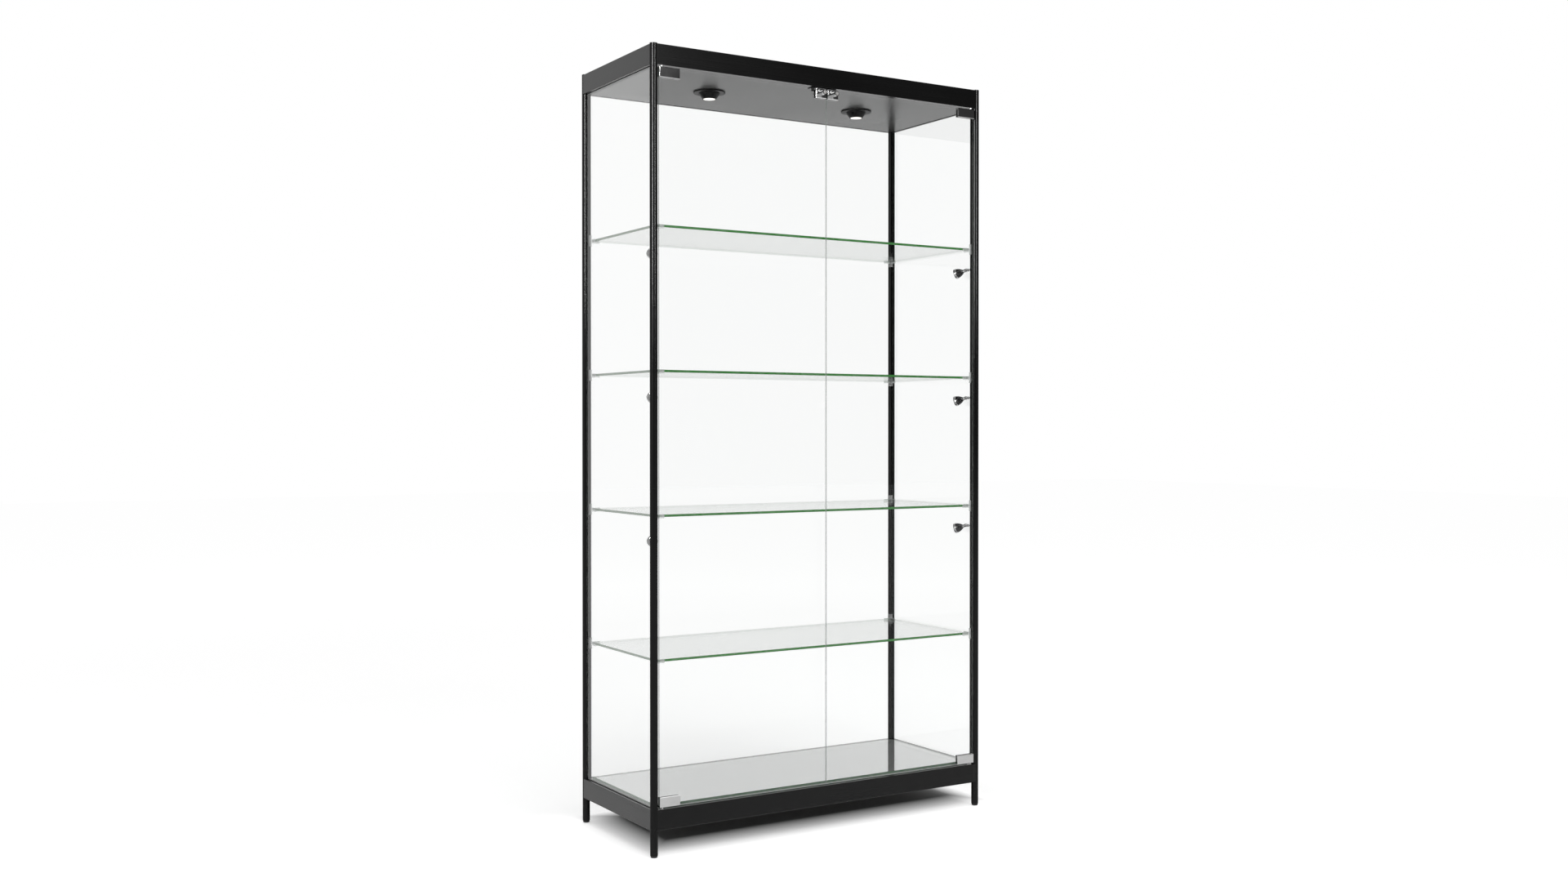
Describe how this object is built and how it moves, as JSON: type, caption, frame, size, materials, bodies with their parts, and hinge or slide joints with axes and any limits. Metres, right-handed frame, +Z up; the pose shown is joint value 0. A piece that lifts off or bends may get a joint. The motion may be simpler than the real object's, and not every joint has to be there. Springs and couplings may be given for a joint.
{
  "type": "glass display cabinet",
  "caption": "Tall free-standing glass display cabinet on round black posts, with hinged glass doors and locks, glass shelves on clear clips, ceiling downlights and swivel lamps.",
  "frame": {"origin": "on the floor, under the middle of the four posts", "axes": "+Z up, -Y out of the doors, +X to the right of someone facing the doors"},
  "size_m": [1, 0.4295, 1.9535],
  "materials": {
    "frame_black": "satin black anodised extrusion",
    "foot_black": "black moulded glide on a steel stud",
    "steel": "zinc plated",
    "ceiling_grey": "fine textured grey laminate",
    "base_gloss": "glossy light grey laminate",
    "clear_glass": "clear float glass",
    "shelf_glass": "clear float glass with polished green edges",
    "clear_plastic": "clear moulded",
    "bush_white": "natural nylon",
    "chrome": "polished",
    "lamp_black": "black lacquer",
    "lamp_lens": "lit lens",
    "driver_grey": "moulded case",
    "rubber_black": "matte"
  },
  "bodies": {
    "cabinet": {"post_front_left": "frame_black", "post_front_right": "frame_black", "post_back_left": "frame_black", "post_back_right": "frame_black", "post_caps": "frame_black", "top_rail_front": "frame_black", "top_rail_back": "frame_black", "top_rail_left": "frame_black", "top_rail_right": "frame_black", "bottom_rail_front": "frame_black", "bottom_rail_back": "frame_black", "bottom_rail_left": "frame_black", "bottom_rail_right": "frame_black", "corner_braces": "steel", "ceiling_panel": "ceiling_grey", "top_cover": "frame_black", "base_panel": "base_gloss", "deck_glass": "shelf_glass", "side_glass_left": "clear_glass", "side_glass_right": "clear_glass", "back_glass": "clear_glass", "shelf_1": "shelf_glass", "shelf_2": "shelf_glass", "shelf_3": "shelf_glass", "shelf_4": "shelf_glass", "shelf_clips": "clear_plastic", "pivot_bushes": "bush_white", "lock_strike": "frame_black", "downlight_housings": "lamp_black", "downlight_lenses": "lamp_lens", "lamp_driver": "driver_grey", "cable_grommet": "rubber_black", "lamp_bases": "chrome"},
    "left_door": {"door_glass_left": "clear_glass", "hinge_clamps_left": "chrome", "hinge_pins_left": "chrome", "lock_housing_left": "chrome"},
    "right_door": {"door_glass_right": "clear_glass", "hinge_clamps_right": "chrome", "hinge_pins_right": "chrome", "lock_housing_right": "chrome"},
    "left_lock": {"lock_plug_left": "chrome"},
    "right_lock": {"lock_plug_right": "chrome"},
    "foot_front_left": {"foot_front_left": "foot_black"},
    "foot_front_right": {"foot_front_right": "foot_black"},
    "foot_back_left": {"foot_back_left": "foot_black"},
    "foot_back_right": {"foot_back_right": "foot_black"},
    "lamp_swivel_left_upper": {"lamp_yoke_left_upper": "chrome"},
    "lamp_head_left_upper": {"lamp_head_left_upper": "lamp_black"},
    "lamp_swivel_left_middle": {"lamp_yoke_left_middle": "chrome"},
    "lamp_head_left_middle": {"lamp_head_left_middle": "lamp_black"},
    "lamp_swivel_left_lower": {"lamp_yoke_left_lower": "chrome"},
    "lamp_head_left_lower": {"lamp_head_left_lower": "lamp_black"},
    "lamp_swivel_right_upper": {"lamp_yoke_right_upper": "chrome"},
    "lamp_head_right_upper": {"lamp_head_right_upper": "lamp_black"},
    "lamp_swivel_right_middle": {"lamp_yoke_right_middle": "chrome"},
    "lamp_head_right_middle": {"lamp_head_right_middle": "lamp_black"},
    "lamp_swivel_right_lower": {"lamp_yoke_right_lower": "chrome"},
    "lamp_head_right_lower": {"lamp_head_right_lower": "lamp_black"}
  },
  "joints": [
    {"name": "left_door_swing", "type": "hinge", "parent": "cabinet", "child": "left_door", "pos_m": [-0.4705, -0.1995, 1.0085], "axis": [0, 0, -1], "range_deg": [0, 110]},
    {"name": "left_lock_turn", "type": "hinge", "parent": "left_door", "child": "left_lock", "pos_m": [-0.018, -0.1995, 1.8855], "axis": [0, 1, 0], "range_deg": [0, 90]},
    {"name": "lamp_left_upper_swivel", "type": "hinge", "parent": "cabinet", "child": "lamp_swivel_left_upper", "pos_m": [-0.4825, -0.1665, 1.465], "axis": [0, 1, 0], "range_deg": [-70, 20]},
    {"name": "lamp_left_upper_tilt", "type": "hinge", "parent": "lamp_swivel_left_upper", "child": "lamp_head_left_upper", "pos_m": [-0.4825, -0.1665, 1.465], "axis": [-0.5, 0, -0.866], "range_deg": [-8, 30]},
    {"name": "lamp_left_middle_swivel", "type": "hinge", "parent": "cabinet", "child": "lamp_swivel_left_middle", "pos_m": [-0.4825, -0.1665, 1.115], "axis": [0, 1, 0], "range_deg": [-70, 20]},
    {"name": "lamp_left_middle_tilt", "type": "hinge", "parent": "lamp_swivel_left_middle", "child": "lamp_head_left_middle", "pos_m": [-0.4825, -0.1665, 1.115], "axis": [-0.5, 0, -0.866], "range_deg": [-8, 30]},
    {"name": "lamp_left_lower_swivel", "type": "hinge", "parent": "cabinet", "child": "lamp_swivel_left_lower", "pos_m": [-0.4825, -0.1665, 0.765], "axis": [0, 1, 0], "range_deg": [-70, 20]},
    {"name": "lamp_left_lower_tilt", "type": "hinge", "parent": "lamp_swivel_left_lower", "child": "lamp_head_left_lower", "pos_m": [-0.4825, -0.1665, 0.765], "axis": [-0.5, 0, -0.866], "range_deg": [-8, 30]},
    {"name": "right_door_swing", "type": "hinge", "parent": "cabinet", "child": "right_door", "pos_m": [0.4705, -0.1995, 1.0085], "axis": [0, 0, 1], "range_deg": [0, 110]},
    {"name": "right_lock_turn", "type": "hinge", "parent": "right_door", "child": "right_lock", "pos_m": [0.018, -0.1995, 1.8855], "axis": [0, -1, 0], "range_deg": [0, 90]},
    {"name": "lamp_right_upper_swivel", "type": "hinge", "parent": "cabinet", "child": "lamp_swivel_right_upper", "pos_m": [0.4825, -0.1665, 1.465], "axis": [0, -1, 0], "range_deg": [-70, 20]},
    {"name": "lamp_right_upper_tilt", "type": "hinge", "parent": "lamp_swivel_right_upper", "child": "lamp_head_right_upper", "pos_m": [0.4825, -0.1665, 1.465], "axis": [-0.5, 0, 0.866], "range_deg": [-8, 30]},
    {"name": "lamp_right_middle_swivel", "type": "hinge", "parent": "cabinet", "child": "lamp_swivel_right_middle", "pos_m": [0.4825, -0.1665, 1.115], "axis": [0, -1, 0], "range_deg": [-70, 20]},
    {"name": "lamp_right_middle_tilt", "type": "hinge", "parent": "lamp_swivel_right_middle", "child": "lamp_head_right_middle", "pos_m": [0.4825, -0.1665, 1.115], "axis": [-0.5, 0, 0.866], "range_deg": [-8, 30]},
    {"name": "lamp_right_lower_swivel", "type": "hinge", "parent": "cabinet", "child": "lamp_swivel_right_lower", "pos_m": [0.4825, -0.1665, 0.765], "axis": [0, -1, 0], "range_deg": [-70, 20]},
    {"name": "lamp_right_lower_tilt", "type": "hinge", "parent": "lamp_swivel_right_lower", "child": "lamp_head_right_lower", "pos_m": [0.4825, -0.1665, 0.765], "axis": [-0.5, 0, 0.866], "range_deg": [-8, 30]},
    {"name": "foot_front_left_turn", "type": "hinge", "parent": "cabinet", "child": "foot_front_left", "pos_m": [-0.4905, -0.1955, 0], "axis": [0, 0, 1], "continuous": true},
    {"name": "foot_front_right_turn", "type": "hinge", "parent": "cabinet", "child": "foot_front_right", "pos_m": [0.4905, -0.1955, 0], "axis": [0, 0, 1], "continuous": true},
    {"name": "foot_back_left_turn", "type": "hinge", "parent": "cabinet", "child": "foot_back_left", "pos_m": [-0.4905, 0.1955, 0], "axis": [0, 0, 1], "continuous": true},
    {"name": "foot_back_right_turn", "type": "hinge", "parent": "cabinet", "child": "foot_back_right", "pos_m": [0.4905, 0.1955, 0], "axis": [0, 0, 1], "continuous": true}
  ]
}
